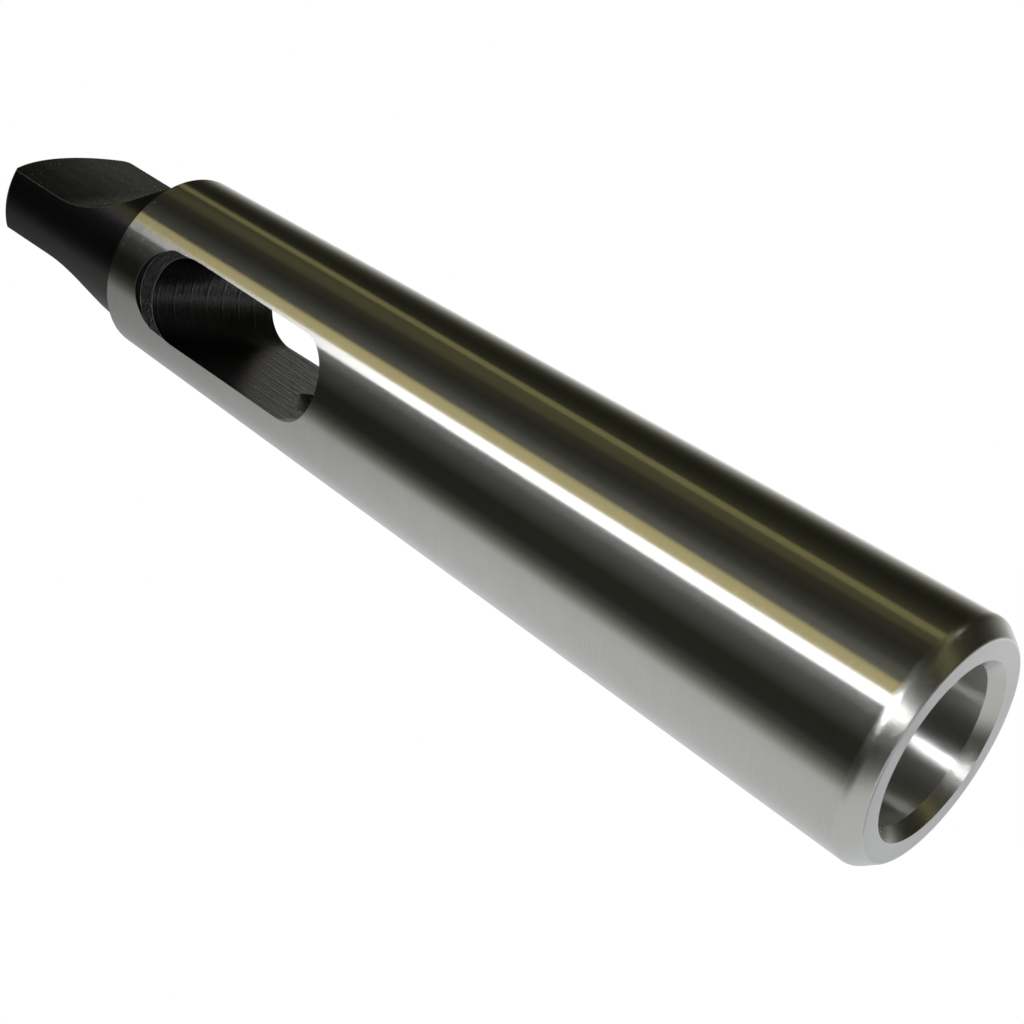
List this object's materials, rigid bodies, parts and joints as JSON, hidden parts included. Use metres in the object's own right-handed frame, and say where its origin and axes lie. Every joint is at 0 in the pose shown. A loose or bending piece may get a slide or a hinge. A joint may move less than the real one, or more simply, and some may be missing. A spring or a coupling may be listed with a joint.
{
  "type": "morse taper sleeve",
  "caption": "Morse taper reduction sleeve: tapered shank outside, tapered socket inside, drift slot and flatted tang.",
  "frame": {"origin": "centre of the big-end face, on the taper's axis", "axes": "+Z along the axis from the big end to the tang; the drift slot goes through along Y; +X completes the right-handed frame"},
  "size_m": [0.0186, 0.0186, 0.092],
  "materials": {
    "ground_steel": "ground outside and in the socket, black oxide on the tang and in the slot"
  },
  "bodies": {
    "root": {"sleeve": "ground_steel"}
  },
  "joints": []
}
